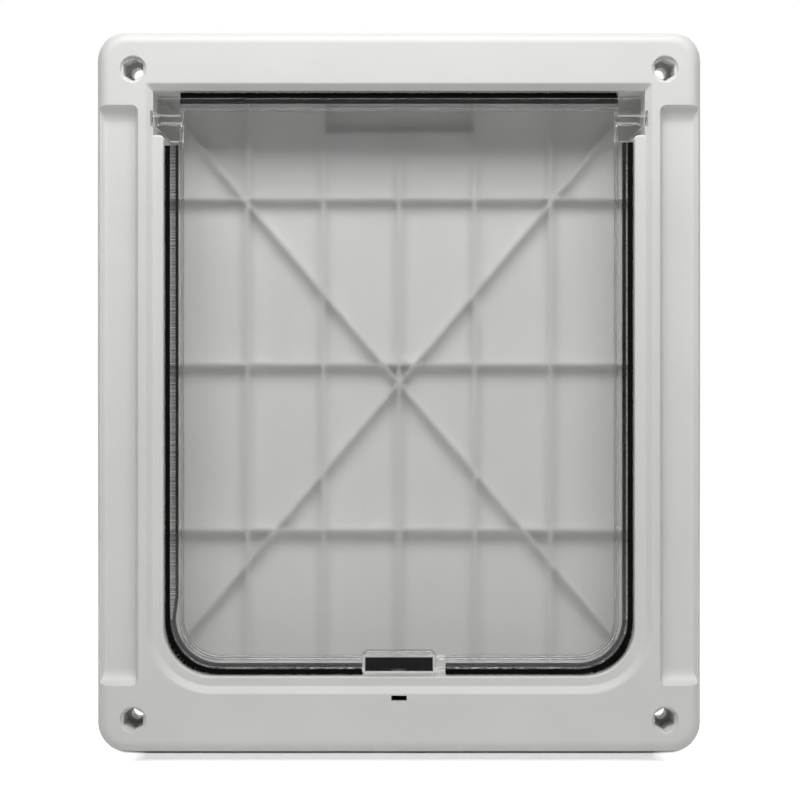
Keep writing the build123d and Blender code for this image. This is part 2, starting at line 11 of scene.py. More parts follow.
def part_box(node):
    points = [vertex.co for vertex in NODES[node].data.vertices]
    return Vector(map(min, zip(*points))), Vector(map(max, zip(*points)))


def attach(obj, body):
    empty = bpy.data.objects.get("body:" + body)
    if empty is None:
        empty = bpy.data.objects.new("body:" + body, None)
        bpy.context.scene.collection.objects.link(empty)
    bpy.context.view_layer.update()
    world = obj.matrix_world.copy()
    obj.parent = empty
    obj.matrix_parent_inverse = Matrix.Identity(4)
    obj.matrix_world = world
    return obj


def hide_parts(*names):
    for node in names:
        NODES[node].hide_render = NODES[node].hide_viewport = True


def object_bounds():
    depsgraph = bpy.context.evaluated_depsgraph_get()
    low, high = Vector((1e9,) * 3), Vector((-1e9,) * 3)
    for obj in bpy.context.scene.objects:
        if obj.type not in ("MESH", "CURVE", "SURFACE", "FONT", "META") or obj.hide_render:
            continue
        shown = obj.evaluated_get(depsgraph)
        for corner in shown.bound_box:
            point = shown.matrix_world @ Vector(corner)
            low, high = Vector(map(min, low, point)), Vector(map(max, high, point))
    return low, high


bl_info = {
    "name": "Pet Door",
    "version": (1, 0, 0),
    "blender": (4, 5, 0),
    "location": "3D View > Sidebar > Pet Door",
    "description": "Finishes a framed pet door and sets it on a pale stage",
    "category": "Object",
}

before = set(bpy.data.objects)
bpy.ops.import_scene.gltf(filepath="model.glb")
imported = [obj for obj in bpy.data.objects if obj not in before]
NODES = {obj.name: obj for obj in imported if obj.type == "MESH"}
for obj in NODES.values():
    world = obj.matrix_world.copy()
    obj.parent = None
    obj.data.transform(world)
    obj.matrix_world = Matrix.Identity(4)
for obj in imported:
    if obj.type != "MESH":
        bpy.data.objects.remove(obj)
CAD_LOW, CAD_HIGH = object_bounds()

MM = 0.001
SENSOR_WIDTH = 36
PICTURE_WIDTH = 800


def linear(hex_colour):
    """The linear colour of an sRGB hex value."""
    parts = [int(hex_colour[i:i + 2], 16) / 255 for i in (1, 3, 5)]
    return tuple(p / 12.92 if p <= 0.04045 else ((p + 0.055) / 1.055) ** 2.4 for p in parts)


def add_node(tree, kind, inputs=None, **settings):
    """Add a node, apply its settings, and give each named input a value or a link."""
    made = tree.nodes.new(kind)
    for name, value in settings.items():
        setattr(made, name, value)
    for name, value in (inputs or {}).items():
        if isinstance(value, bpy.types.NodeSocket):
            tree.links.new(value, made.inputs[name])
        else:
            made.inputs[name].default_value = value
    return made


def combine(tree, operation, first, second):
    """The result of a maths operation on two numbers."""
    return add_node(tree, "ShaderNodeMath", {0: first, 1: second}, operation=operation).outputs[0]


def combine_vectors(tree, operation, first, second=(0, 0, 0)):
    """The result of a maths operation on two vectors, or on a vector alone."""
    return add_node(
        tree, "ShaderNodeVectorMath", {0: first, 1: second}, operation=operation).outputs[0]


def noise(tree, place, size, detail=2):
    """A noise whose features are about a size across."""
    return add_node(tree, "ShaderNodeTexNoise", {
        "Vector": place, "Scale": 1 / size, "Detail": detail}).outputs["Fac"]


def relief(tree, height, strength, distance):
    """A surface direction that is bumped by a texture."""
    return add_node(tree, "ShaderNodeBump", {
        "Height": height, "Strength": strength, "Distance": distance}).outputs[0]


def tone(tree, factor, dark, light):
    """A colour that runs from dark to light with a factor."""
    mix = add_node(
        tree, "ShaderNodeMix", {0: factor, 6: (*dark, 1), 7: (*light, 1)}, data_type="RGBA")
    return mix.outputs[2]


def spread(tree, value, low, high):
    """A texture value's middle range stretched over the range from low to high."""
    return add_node(tree, "ShaderNodeMapRange", {
        "Value": value, "From Min": 0.3, "From Max": 0.7, "To Min": low, "To Max": high}).outputs[0]


def new_material(name):
    """A material with an empty node tree and object coordinates to start from."""
    material = bpy.data.materials.new(name)
    material.use_nodes = True
    tree = material.node_tree
    tree.nodes.clear()
    place = add_node(tree, "ShaderNodeTexCoord").outputs["Object"]
    return material, tree, place


def finish_material(tree, shader):
    """Send a shader to the material's output."""
    add_node(tree, "ShaderNodeOutputMaterial", {"Surface": shader.outputs[0]})


def satin_moulded_abs(name, dark, light, roughness):
    """White ABS, injection-moulded in a spark-eroded mould: an even satin with a fine grain.

    The grain of such a mould is about 0.1 mm. It is drawn at 0.5 mm, so that it shows.
    """
    material, tree, place = new_material(name)
    flow = noise(tree, place, 60 * MM, 3)
    grain = noise(tree, place, 0.5 * MM)
    mottle = combine(tree, "SUBTRACT", combine(tree, "ADD", flow, grain), 0.5)
    shader = add_node(tree, "ShaderNodeBsdfPrincipled", {
        "Base Color": tone(tree, mottle, dark, light),
        "Roughness": spread(tree, grain, roughness - 0.05, roughness + 0.05),
        "IOR": 1.53,
        "Normal": relief(tree, grain, 0.3, 0.05 * MM)})
    finish_material(tree, shader)
    return material


def rounded_window(tree, place, middle, half_width, half_height, radius):
    """1 inside an upright rectangle with round corners, and 0 outside it."""
    soft_edge = 0.3 * MM
    off = combine_vectors(tree, "SUBTRACT", place, middle)
    flat = combine_vectors(tree, "MULTIPLY", off, (1, 0, 1))
    away = combine_vectors(tree, "ABSOLUTE", flat)
    past = combine_vectors(tree, "SUBTRACT", away, (half_width - radius, 0, half_height - radius))
    outside = combine_vectors(tree, "MAXIMUM", past)
    reach = add_node(tree, "ShaderNodeVectorMath", {0: outside}, operation="LENGTH").outputs["Value"]
    return add_node(tree, "ShaderNodeMapRange", {
        "Value": reach, "From Min": radius - soft_edge, "From Max": radius,
        "To Min": 1, "To Max": 0}).outputs[0]


def clear_moulded_acrylic(name, tint, roughness, haze, window=None, window_roughness=0):
    """Acrylic, injection-moulded: polished and clear, with slow waves, and a finely matted window."""
    material, tree, place = new_material(name)
    wave = noise(tree, place, 18 * MM)
    gloss = spread(tree, wave, roughness * 0.8, roughness * 1.2)
    colour = (*tint, 1)
    if window:
        matted = rounded_window(tree, place, *window)
        gloss = add_node(tree, "ShaderNodeMix", {0: matted, 2: gloss, 3: window_roughness}).outputs[0]
        # The blasted mould's grain is about 0.1 mm. It is drawn at 0.7 mm, so that it shows.
        pits = combine(tree, "MULTIPLY", noise(tree, place, 0.7 * MM), matted)
        dimmed = [part * 0.93 for part in tint]
        colour = tone(tree, pits, tint, dimmed)
    shader = add_node(tree, "ShaderNodeBsdfPrincipled", {
        "Base Color": colour,
        "Roughness": gloss,
        "IOR": 1.49,
        "Transmission Weight": 1 - haze,
        "Normal": relief(tree, wave, 0.05, 0.2 * MM)})
    # A lamp's light that is bent twice is too rare to be caught by chance, so it passes straight on.
    rays = add_node(tree, "ShaderNodeLightPath").outputs
    lighting = combine(tree, "MAXIMUM", rays["Is Shadow Ray"], rays["Is Diffuse Ray"])
    straight = add_node(tree, "ShaderNodeBsdfTransparent", {"Color": (*linear("#FDFDFD"), 1)})
    finish_material(tree, add_node(tree, "ShaderNodeMixShader", {
        0: lighting, 1: shader.outputs[0], 2: straight.outputs[0]}))
    return material


def black_polypropylene_pile(name, dark, light):
    """Polypropylene yarn, woven into a strip and cut to a pile: deep black and dull."""
    material, tree, place = new_material(name)
    yarn = noise(tree, place, 0.8 * MM)
    shader = add_node(tree, "ShaderNodeBsdfPrincipled", {
        "Base Color": tone(tree, spread(tree, yarn, 0, 1), dark, light),
        "Roughness": spread(tree, yarn, 0.6, 0.8),
        "IOR": 1.49,
        "Specular IOR Level": 0.08})
    finish_material(tree, shader)
    return material


def ground_ferrite(name, dark, light):
    """Sintered ferrite, ground flat: dark grey and dull, with pores and fine straight grinding marks."""
    material, tree, place = new_material(name)
    along = add_node(tree, "ShaderNodeMapping", {"Vector": place, "Scale": (0.08, 1, 1)}).outputs[0]
    marks = noise(tree, along, 0.35 * MM)
    pores = noise(tree, place, 1.2 * MM, 4)
    shader = add_node(tree, "ShaderNodeBsdfPrincipled", {
        "Base Color": tone(tree, spread(tree, pores, 0, 1), dark, light),
        "Roughness": spread(tree, marks, 0.45, 0.65),
        "IOR": 1.6,
        "Specular IOR Level": 0.2,
        "Normal": relief(tree, marks, 0.3, 0.05 * MM)})
    finish_material(tree, shader)
    return material


def dress(node, material):
    """Give a CAD node its material."""
    node.data.materials.clear()
    node.data.materials.append(material)


def piece_from(bm, name, material, body):
    """Turn a bmesh into a finished piece that rides on a body."""
    mesh = bpy.data.meshes.new(name)
    bm.to_mesh(mesh)
    bm.free()
    piece = bpy.data.objects.new(name, mesh)
    bpy.context.scene.collection.objects.link(piece)
    piece.data.materials.append(material)
    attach(piece, body)
    return piece


class PetDoorMouldings(bpy.types.PropertyGroup):
    """Finish of the white mouldings."""

    light: bpy.props.FloatVectorProperty(
        name="Light tone", description="Lighter tone of the white ABS", subtype="COLOR",
        size=3, min=0, max=1, default=linear("#ECECEA"))
    dark: bpy.props.FloatVectorProperty(
        name="Dark tone", description="Darker tone of the white ABS", subtype="COLOR",
        size=3, min=0, max=1, default=linear("#E0E0DE"))
    roughness: bpy.props.FloatProperty(
        name="Roughness", description="Roughness of the satin surface", subtype="FACTOR",
        min=0, max=1, default=0.42)


class PetDoorAcrylic(bpy.types.PropertyGroup):
    """Finish of the clear flap and holder."""

    tint: bpy.props.FloatVectorProperty(
        name="Tint", description="Tint of the clear acrylic", subtype="COLOR",
        size=3, min=0, max=1, default=linear("#FCFDFD"))
    haze: bpy.props.FloatProperty(
        name="Haze", description="Share of light that the acrylic scatters", subtype="FACTOR",
        min=0, max=1, default=0.01)
    roughness: bpy.props.FloatProperty(
        name="Roughness", description="Roughness of the polished rim", subtype="FACTOR",
        min=0, max=1, default=0.03)
    window_roughness: bpy.props.FloatProperty(
        name="Window roughness", description="Roughness of the matted window", subtype="FACTOR",
        min=0, max=1, default=0.24)
    window_size: bpy.props.FloatVectorProperty(
        name="Window size", description="Width and height of the matted window", subtype="XYZ_LENGTH",
        unit="LENGTH", size=2, default=(211.6 * MM, 266.9 * MM))
    window_bottom: bpy.props.FloatProperty(
        name="Window bottom", description="Height of the window's lower edge", subtype="DISTANCE",
        unit="LENGTH", default=-128.3 * MM)
    window_radius: bpy.props.FloatProperty(
        name="Window radius", description="Radius of the window's corners", subtype="DISTANCE",
        unit="LENGTH", default=17.6 * MM)


class PetDoorMagnets(bpy.types.PropertyGroup):
    """Colours of the magnets."""

    light: bpy.props.FloatVectorProperty(
        name="Light tone", description="Tone of the ground face", subtype="COLOR",
        size=3, min=0, max=1, default=linear("#1B1B1C"))
    dark: bpy.props.FloatVectorProperty(
        name="Dark tone", description="Tone of the pores", subtype="COLOR",
        size=3, min=0, max=1, default=linear("#0F0F10"))


class PetDoorBrushes(bpy.types.PropertyGroup):
    """Sizes and colours of the brush seals."""

    light: bpy.props.FloatVectorProperty(
        name="Light tone", description="Tone of the fibres that catch the light", subtype="COLOR",
        size=3, min=0, max=1, default=linear("#101011"))
    dark: bpy.props.FloatVectorProperty(
        name="Dark tone", description="Tone of the pile's depth", subtype="COLOR",
        size=3, min=0, max=1, default=linear("#020202"))
    tuft_pitch: bpy.props.FloatProperty(
        name="Tuft pitch", description="Distance from one tuft of pile to the next", subtype="DISTANCE",
        unit="LENGTH", min=0.5 * MM, default=1.6 * MM)
    fibres: bpy.props.IntProperty(
        name="Fibres", description="Fibres in one tuft", min=3, default=14)
    fibre_radius: bpy.props.FloatProperty(
        name="Fibre radius", description="Radius of a fibre at its root", subtype="DISTANCE",
        unit="LENGTH", min=0.02 * MM, default=0.24 * MM)
    fibre_tip: bpy.props.FloatProperty(
        name="Fibre tip", description="Radius of a fibre's tip, as a share of its root's",
        subtype="FACTOR", min=0, max=1, default=0.6)
    fibre_shortest: bpy.props.FloatProperty(
        name="Shortest fibre", description="Length of the shortest fibre, as a share of the longest",
        subtype="FACTOR", min=0, max=1, default=0.94)
    fibre_lean: bpy.props.FloatProperty(
        name="Fibre lean", description="How far a fibre leans along the brush", subtype="ANGLE",
        min=0, default=0.15)
    fibre_splay: bpy.props.FloatProperty(
        name="Fibre splay", description="How far a fibre leans across the brush", subtype="ANGLE",
        min=0, default=0.05)
    neck_share: bpy.props.FloatProperty(
        name="Neck share", description="Share of the fibres that shows inside the channel",
        subtype="FACTOR", min=0, max=1, default=0.3)
    neck_rows: bpy.props.IntProperty(
        name="Neck rows", description="Rows of such fibres round the corner and along the bottom",
        min=1, default=3)
    corner_radius: bpy.props.FloatProperty(
        name="Corner radius", description="Radius of the flap's edge at its lower corners",
        subtype="DISTANCE", unit="LENGTH", min=5 * MM, default=24.4 * MM)
    side_gap: bpy.props.FloatProperty(
        name="Side gap", description="From the flap's edge to the pile's tips at the sides",
        subtype="DISTANCE", unit="LENGTH", default=2.7 * MM)
    bottom_gap: bpy.props.FloatProperty(
        name="Bottom gap", description="From the flap's edge to the pile's tips along the bottom",
        subtype="DISTANCE", unit="LENGTH", default=3 * MM)
    corner_gap: bpy.props.FloatProperty(
        name="Corner gap", description="How much further the pile reaches in the corners",
        subtype="DISTANCE", unit="LENGTH", default=1.2 * MM)
    backing_start: bpy.props.FloatProperty(
        name="Backing start", description="From the flap's edge to the backing's outer face",
        subtype="DISTANCE", unit="LENGTH", default=1.15 * MM)
    backing_height: bpy.props.FloatProperty(
        name="Backing height", description="Thickness of the woven backing", subtype="DISTANCE",
        unit="LENGTH", default=1.3 * MM)
    slack: bpy.props.FloatProperty(
        name="Slack", description="How deep the left backing has slid into its slot",
        subtype="DISTANCE", unit="LENGTH", default=1.6 * MM)
    slack_ease: bpy.props.FloatProperty(
        name="Slack ease", description="Length above the corner in which that backing slides in",
        subtype="DISTANCE", unit="LENGTH", min=1 * MM, default=12 * MM)
    core_depth: bpy.props.FloatProperty(
        name="Core depth", description="Share of the brush's thickness where its pile is packed solid",
        subtype="FACTOR", min=0, max=1, default=0.6)
    core_side: bpy.props.FloatProperty(
        name="Core at the sides", description="Share of the side gap that the solid core fills",
        subtype="FACTOR", min=0, max=1, default=0.85)
    core_head: bpy.props.FloatProperty(
        name="Core at the head", description="Share of the head seal's height that its core fills",
        subtype="FACTOR", min=0, max=1, default=0.88)
    core_inset: bpy.props.FloatProperty(
        name="Core inset", description="From the ends of the head seal to its core",
        subtype="DISTANCE", unit="LENGTH", default=1 * MM)
    core_drop: bpy.props.FloatProperty(
        name="Core drop", description="From the top of a side seal down to its core",
        subtype="DISTANCE", unit="LENGTH", default=0.81 * MM)
    core_tuck: bpy.props.FloatProperty(
        name="Core tuck", description="How far the core reaches inside the flap's edge",
        subtype="DISTANCE", unit="LENGTH", default=0.1 * MM)
    seed: bpy.props.IntProperty(
        name="Seed", description="Seed of the fibres' lean", default=7)


class PetDoorStage(bpy.types.PropertyGroup):
    """Camera, lamps and floor."""

    camera_distance: bpy.props.FloatProperty(
        name="Camera distance", description="From the camera to the frame's face", subtype="DISTANCE",
        unit="LENGTH", min=0.1, default=0.905)
    camera_height: bpy.props.FloatProperty(
        name="Camera height", description="Height above the middle of the screw holes",
        subtype="DISTANCE", unit="LENGTH", default=0.030)
    camera_side: bpy.props.FloatProperty(
        name="Camera side", description="Distance of the camera to the right of the middle",
        subtype="DISTANCE", unit="LENGTH", default=-0.5 * MM)
    camera_shift: bpy.props.FloatVectorProperty(
        name="Camera shift", description="Shift of the picture across and up, as shares of its width",
        subtype="XYZ", size=2, default=(2 / PICTURE_WIDTH, -67 / PICTURE_WIDTH))
    lens: bpy.props.FloatProperty(
        name="Lens", description="Focal length on a 36 mm sensor", min=10, default=83.4)
    key_power: bpy.props.FloatProperty(
        name="Key lamp", description="Power of the lamp above and in front", subtype="POWER",
        unit="POWER", min=0, default=5.75)
    key_place: bpy.props.FloatVectorProperty(
        name="Key place", description="Place of the lamp above and in front", subtype="XYZ_LENGTH",
        unit="LENGTH", size=3, default=(0, -0.45, 0.6))
    back_power: bpy.props.FloatProperty(
        name="Back lamp", description="Power of the lamp above and behind", subtype="POWER",
        unit="POWER", min=0, default=6)
    back_place: bpy.props.FloatVectorProperty(
        name="Back place", description="Place of the lamp above and behind", subtype="XYZ_LENGTH",
        unit="LENGTH", size=3, default=(0, 0.8, 0.7))
    lamp_size: bpy.props.FloatVectorProperty(
        name="Lamp size", description="Width and height of both lamps", subtype="XYZ_LENGTH",
        unit="LENGTH", size=2, default=(0.9, 0.35))
    sky_strength: bpy.props.FloatProperty(
        name="Sky", description="Strength of the light from straight above", min=0, default=0.1)
    sky_fall: bpy.props.FloatProperty(
        name="Sky fall", description="How fast the sky darkens towards the horizon", min=0, default=2)
    sky_mirrored: bpy.props.FloatProperty(
        name="Sky mirrored", description="How far back a reflection points to meet an all white sky",
        subtype="FACTOR", min=0, max=1, default=0.3)
    floor_reach: bpy.props.FloatProperty(
        name="Floor reach", description="From the middle of the floor to its edges",
        subtype="DISTANCE", unit="LENGTH", min=1, default=4)
    floor_mirrored: bpy.props.FloatProperty(
        name="Floor mirrored", description="How far back the floor is all white in reflections",
        subtype="DISTANCE", unit="LENGTH", default=100 * MM)
    shadow_inset: bpy.props.FloatProperty(
        name="Shadow inset", description="How far the shadow's outline lies inside the object's sides",
        subtype="DISTANCE", unit="LENGTH", default=34 * MM)
    shadow_reach: bpy.props.FloatProperty(
        name="Shadow reach", description="From that outline to where the floor starts to look white",
        subtype="DISTANCE", unit="LENGTH", default=9 * MM)
    white_reach: bpy.props.FloatProperty(
        name="White reach", description="From that outline to where the floor looks all white",
        subtype="DISTANCE", unit="LENGTH", default=25 * MM)


def block(bm, low, high):
    """A box between two corners."""
    size = Matrix.Diagonal((*(high - low), 1))
    bmesh.ops.create_cube(bm, size=1, matrix=Matrix.Translation((low + high) / 2) @ size)


def section(bm, inner, outer, half_depth, middle, run):
    """A rectangle across a strip: inner to outer along X, and its half depth each way along Y."""
    size = Matrix.Diagonal((outer - inner, 2 * half_depth, 1, 1))
    place = Matrix.Translation(((inner + outer) / 2, middle, run))
    made = bmesh.ops.create_grid(bm, x_segments=1, y_segments=1, size=0.5, matrix=place @ size)
    return list({face for vert in made["verts"] for face in vert.link_faces})


def push(bm, faces, offset):
    """Extrude the end of a strip by an offset, and give its new end."""
    made = bmesh.ops.extrude_face_region(bm, geom=faces)["geom"]
    verts = [part for part in made if isinstance(part, bmesh.types.BMVert)]
    bmesh.ops.translate(bm, vec=offset, verts=verts)
    return [part for part in made if isinstance(part, bmesh.types.BMFace)]


def side_band(bm, corner, inner, outer, half_depth, top, start, slack, ease):
    """A band down the right side, round the corner and along the bottom, between two radii."""
    end = section(bm, corner.x + inner - slack, corner.x + outer - slack, half_depth, corner.y, top)
    end = push(bm, end, (0, 0, corner.z + ease - top))
    end = push(bm, end, (slack, 0, -ease))
    turned = bmesh.ops.spin(
        bm, geom=end, cent=corner, axis=(0, 1, 0), angle=math.pi / 2, steps=14)["geom_last"]
    end = [part for part in turned if isinstance(part, bmesh.types.BMFace)]
    push(bm, end, (start - corner.x, 0, 0))


def tuft_meshes(settings, height, half_depth, share=1, count=8):
    """A few different tufts of leaning fibres, rooted at the origin and standing along +X.

    A tuft with a share of the fibres has thinner ones, which lean less.
    """
    chance = random.Random(settings.seed)
    stand = Matrix.Rotation(math.pi / 2, 4, "Y")
    fibres = round(settings.fibres * share)
    radius = settings.fibre_radius * share ** 0.5
    half_core = half_depth * settings.core_depth
    most_lean = settings.fibre_lean * share
    most_splay = settings.fibre_splay
    meshes = []
    for number in range(count):
        bm = bmesh.new()
        for fibre in range(fibres):
            length = height * chance.uniform(settings.fibre_shortest, 1)
            across = chance.uniform(-half_core, half_core)
            along = ((fibre + chance.uniform(0, 1)) / fibres - 0.5) * settings.tuft_pitch
            lean = Matrix.Rotation(chance.uniform(-most_lean, most_lean), 4, "Y")
            splay = Matrix.Rotation(chance.uniform(-most_splay, most_splay), 4, "Z")
            root = Matrix.Translation((0, across, along))
            rise = Matrix.Translation((0, 0, length / 2))
            bmesh.ops.create_cone(
                bm, cap_ends=True, cap_tris=False, segments=3, radius1=radius,
                radius2=radius * settings.fibre_tip, depth=length,
                matrix=root @ lean @ splay @ stand @ rise)
        mesh = bpy.data.meshes.new(f"tuft_{number}")
        bm.to_mesh(mesh)
        bm.free()
        meshes.append(mesh)
    return meshes


def standing(point, outward, stretch):
    """A matrix that sets a tuft at a point, pointing outward in the flap's plane."""
    across = Vector((0, 1, 0))
    along = outward.cross(across)
    turn = Matrix((outward, across, along)).transposed().to_4x4()
    return Matrix.Translation(point) @ turn @ Matrix.Diagonal((stretch, 1, 1, 1))


def plant(bm, tufts, matrices, seed):
    """Set one of the tufts at each place."""
    chance = random.Random(seed)
    for matrix in matrices:
        mesh = chance.choice(tufts).copy()
        mesh.transform(matrix)
        bm.from_mesh(mesh)
        bpy.data.meshes.remove(mesh)


def evenly_along(length, pitch):
    """Places along a length, spread evenly and about a pitch apart."""
    count = round(length / pitch)
    return [(number + 0.5) / count * length for number in range(count)]


def flap_edge_stations(settings, corner, top, start, slack):
    """Where the tufts stand, down the flap's right side, round its corner and along its bottom.

    Each station is a point on the edge, the way out from it, how far the pile reaches, how much
    deeper the backing lies there, and the rows of fibres between the backing and the edge.
    """
    radius, pitch = settings.corner_radius, settings.tuft_pitch
    stations = []
    for rise in evenly_along(top - corner.z, pitch):
        point = corner + Vector((radius, 0, rise))
        sunk = slack * min(rise / settings.slack_ease, 1)
        stations.append((point, Vector((1, 0, 0)), settings.side_gap, sunk, 1))
    for turn in evenly_along(math.pi / 2, pitch / radius):
        outward = Vector((math.cos(turn), 0, -math.sin(turn)))
        reach = (
            settings.side_gap * outward.x ** 2 + settings.bottom_gap * outward.z ** 2
            + settings.corner_gap * math.sin(2 * turn) ** 2)
        stations.append((corner + outward * radius, outward, reach, 0, settings.neck_rows))
    for along in evenly_along(corner.x - start, pitch):
        point = Vector((start + along, corner.y, corner.z - radius))
        stations.append((point, Vector((0, 0, -1)), settings.bottom_gap, 0, settings.neck_rows))
    return stations


class PETDOOR_OT_mouldings(bpy.types.Operator):
    """Finish both frames and the closing panel as satin white ABS"""

    bl_idname = "petdoor.mouldings"
    bl_label = "Finish Mouldings"

    def execute(self, context):
        settings = context.scene.petdoor_mouldings
        frames = satin_moulded_abs(
            "white_abs_frame", settings.dark, settings.light, settings.roughness)
        panel = satin_moulded_abs(
            "white_abs_panel", settings.dark, settings.light, settings.roughness)
        dress(NODES["outer_frame"], frames)
        dress(NODES["inner_frame"], frames)
        dress(NODES["closing_panel"], panel)
        return {"FINISHED"}


class PETDOOR_OT_flap(bpy.types.Operator):
    """Finish the flap and the magnet holder as clear acrylic"""

    bl_idname = "petdoor.flap"
    bl_label = "Finish Flap"

    def execute(self, context):
        settings = context.scene.petdoor_acrylic
        width, height = settings.window_size
        middle = (0, 0, settings.window_bottom + height / 2)
        flap = clear_moulded_acrylic(
            "clear_acrylic_flap", settings.tint, settings.roughness, settings.haze,
            (middle, width / 2, height / 2, settings.window_radius), settings.window_roughness)
        holder = clear_moulded_acrylic(
            "clear_acrylic_holder", settings.tint, settings.roughness, settings.haze)
        dress(NODES["flap"], flap)
        dress(NODES["magnet_holder"], holder)
        return {"FINISHED"}


class PETDOOR_OT_magnets(bpy.types.Operator):
    """Finish both bar magnets as ground ferrite"""

    bl_idname = "petdoor.magnets"
    bl_label = "Finish Magnets"

    def execute(self, context):
        settings = context.scene.petdoor_magnets
        ferrite = ground_ferrite("ground_ferrite", settings.dark, settings.light)
        dress(NODES["flap_magnet"], ferrite)
        dress(NODES["sill_magnet"], ferrite)
        return {"FINISHED"}


class PETDOOR_OT_brushes(bpy.types.Operator):
    """Make the brush seals: a woven backing with tufts of fibres"""

    bl_idname = "petdoor.brushes"
    bl_label = "Make Brush Seals"

    def execute(self, context):
        settings = context.scene.petdoor_brushes
        pile = black_polypropylene_pile("black_pile", settings.dark, settings.light)
        for name, side, slack in (("left_seal", -1, settings.slack), ("right_seal", 1, 0)):
            self.side_brush(settings, name, side, slack, pile)
        self.head_brush(settings, pile)
        return {"FINISHED"}

    def side_brush(self, settings, name, side, slack, pile):
        """One side's seal, made on the right and mirrored for the left."""
        low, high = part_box(name)
        tip = max(abs(low.x), abs(high.x))
        start = min(abs(low.x), abs(high.x))
        middle, half_depth = (low.y + high.y) / 2, (high.y - low.y) / 2
        radius, height = settings.corner_radius, settings.side_gap
        corner = Vector((tip - height - radius, middle, low.z + settings.bottom_gap + radius))
        root = radius - settings.backing_start
        bm = bmesh.new()
        side_band(
            bm, corner, root - settings.backing_height, root,
            half_depth, high.z, start, slack, settings.slack_ease)
        side_band(
            bm, corner, radius - settings.core_tuck, radius + height * settings.core_side,
            half_depth * settings.core_depth, high.z - settings.core_drop, start, 0, settings.slack_ease)
        stations = flap_edge_stations(settings, corner, high.z, start, slack)
        places = [standing(point, outward, reach / height) for point, outward, reach, _, _ in stations]
        necks = []
        for point, outward, _, sunk, rows in stations:
            depth = settings.backing_start + sunk
            necks += [standing(point - outward * depth, outward, depth / height)] * rows
        plant(bm, tuft_meshes(settings, height, half_depth), places, settings.seed + side)
        plant(bm, tuft_meshes(settings, height, half_depth, settings.neck_share), necks, settings.seed)
        bmesh.ops.scale(bm, vec=(side, 1, 1), verts=bm.verts)
        bmesh.ops.recalc_face_normals(bm, faces=bm.faces)
        piece = piece_from(bm, name.replace("seal", "brush"), pile, "flap")
        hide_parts(name)

    def head_brush(self, settings, pile):
        """The seal along the head."""
        low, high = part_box("head_seal")
        middle, half_depth = (low.y + high.y) / 2, (high.y - low.y) / 2
        backing_top = low.z + settings.backing_height
        core_top = low.z + (high.z - low.z) * settings.core_head
        half_core = half_depth * settings.core_depth
        bm = bmesh.new()
        block(bm, low, Vector((high.x, high.y, backing_top)))
        block(
            bm, Vector((low.x + settings.core_inset, middle - half_core, backing_top)),
            Vector((high.x - settings.core_inset, middle + half_core, core_top)))
        places = [
            standing(Vector((low.x + along, middle, backing_top)), Vector((0, 0, 1)), 1)
            for along in evenly_along(high.x - low.x, settings.tuft_pitch)]
        plant(bm, tuft_meshes(settings, high.z - backing_top, half_depth), places, settings.seed)
        bmesh.ops.recalc_face_normals(bm, faces=bm.faces)
        piece = piece_from(bm, "head_brush", pile, "flap")
        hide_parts("head_seal")


class PETDOOR_OT_stage(bpy.types.Operator):
    """Set up the floor, the lamps, the sky and the camera"""

    bl_idname = "petdoor.stage"
    bl_label = "Set Up Stage"

    def execute(self, context):
        settings = context.scene.petdoor_stage
        scene = context.scene
        scene.view_settings.view_transform = "Standard"
        lay_floor(scene, settings)
        light_sky(scene, settings)
        add_lamp(scene, "key", settings.key_place, settings.lamp_size, settings.key_power)
        add_lamp(scene, "back", settings.back_place, settings.lamp_size, settings.back_power)
        add_camera(scene, settings)
        return {"FINISHED"}


def seen_directly(tree, behind):
    """A factor of 1 for rays from the camera or through a clear surface, and behind for reflections."""
    path = add_node(tree, "ShaderNodeLightPath").outputs
    shiny = combine(tree, "MAXIMUM", path["Is Glossy Ray"], path["Is Transmission Ray"])
    mirrored = combine(tree, "MULTIPLY", shiny, behind)
    never_mirrored = combine(tree, "LESS_THAN", path["Glossy Depth"], 0.5)
    through = combine(tree, "MULTIPLY", path["Is Transmission Ray"], never_mirrored)
    never_scattered = combine(tree, "LESS_THAN", path["Diffuse Depth"], 0.5)
    seen = combine(tree, "MULTIPLY", combine(tree, "MAXIMUM", mirrored, through), never_scattered)
    return combine(tree, "MAXIMUM", seen, path["Is Camera Ray"])


def pale_floor(settings):
    """Matt white paper: it keeps the contact shadow, and away from the object it is seen as white."""
    material, tree, place = new_material("white_paper")
    pulp = noise(tree, place, 2 * MM, 3)
    matt = add_node(tree, "ShaderNodeBsdfDiffuse", {
        "Color": tone(tree, pulp, linear("#F0F0F0"), linear("#F4F4F4"))})
    middle, half = (CAD_LOW + CAD_HIGH) / 2, (CAD_HIGH - CAD_LOW) / 2
    aside = combine_vectors(tree, "ABSOLUTE", combine_vectors(tree, "SUBTRACT", place, middle))
    past = combine_vectors(tree, "SUBTRACT", aside, (half.x - settings.shadow_inset, half.y, 0))
    edges = add_node(tree, "ShaderNodeSeparateXYZ", {"Vector": past}).outputs
    level = add_node(tree, "ShaderNodeMapRange", {
        "Value": combine(tree, "MAXIMUM", edges["X"], edges["Y"]),
        "From Min": settings.shadow_reach, "From Max": settings.white_reach}).outputs[0]
    back = add_node(tree, "ShaderNodeSeparateXYZ", {"Vector": place}).outputs["Y"]
    behind = add_node(tree, "ShaderNodeMapRange", {
        "Value": back, "From Max": settings.floor_mirrored}).outputs[0]
    seen = combine(tree, "MULTIPLY", level, seen_directly(tree, behind))
    glow = add_node(tree, "ShaderNodeEmission", {"Color": (1, 1, 1, 1), "Strength": seen})
    both = add_node(tree, "ShaderNodeAddShader", {0: matt.outputs[0], 1: glow.outputs[0]})
    finish_material(tree, both)
    return material


